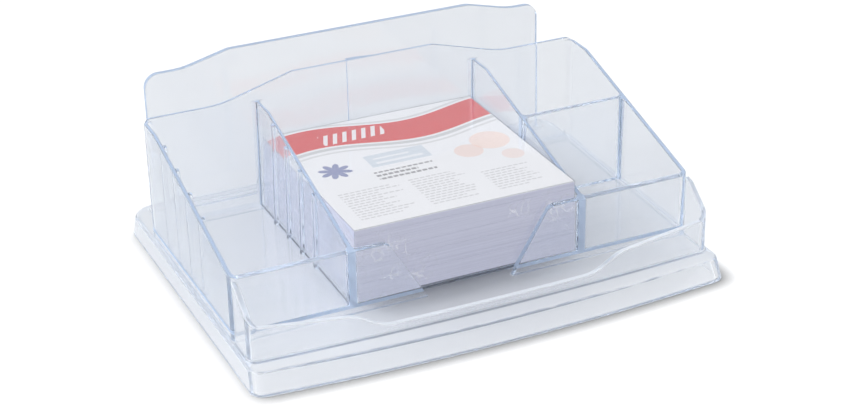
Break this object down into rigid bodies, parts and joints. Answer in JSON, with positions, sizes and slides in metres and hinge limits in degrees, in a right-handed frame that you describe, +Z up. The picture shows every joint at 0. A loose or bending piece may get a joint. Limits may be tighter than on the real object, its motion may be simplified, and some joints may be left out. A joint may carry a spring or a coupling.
{
  "type": "desk organizer",
  "caption": "Clear moulded desk organizer with a flared plinth, open side compartments, a pen tray, a letter slot and a lift-out memo pack with a cover card",
  "frame": {"origin": "On the table plane, at the middle of the plinth's underside box", "axes": "+X to the organizer's right as seen from its front, +Y from the pen tray to the letter panel, +Z up"},
  "size_m": [0.1824, 0.1446, 0.069],
  "materials": {
    "clear_plinth": "clear moulded polystyrene with a slight blue cast",
    "clear_unit": "clear moulded polystyrene with a slight blue cast",
    "clear_panel": "clear moulded polystyrene with a slight blue cast",
    "paper_sheets": null,
    "printed_card": null,
    "clear_film": "thin clear shrink film"
  },
  "bodies": {
    "organizer": {"base_plinth": "clear_plinth", "compartment_unit": "clear_unit", "letter_panel": "clear_panel"},
    "memo_pack": {"memo_block": "paper_sheets", "cover_card": "printed_card", "block_wrap": "clear_film"}
  },
  "joints": [
    {"name": "memo_pack_lift", "type": "slide", "parent": "organizer", "child": "memo_pack", "axis": [0, 0, 1], "range_m": [0, 0.07]}
  ]
}
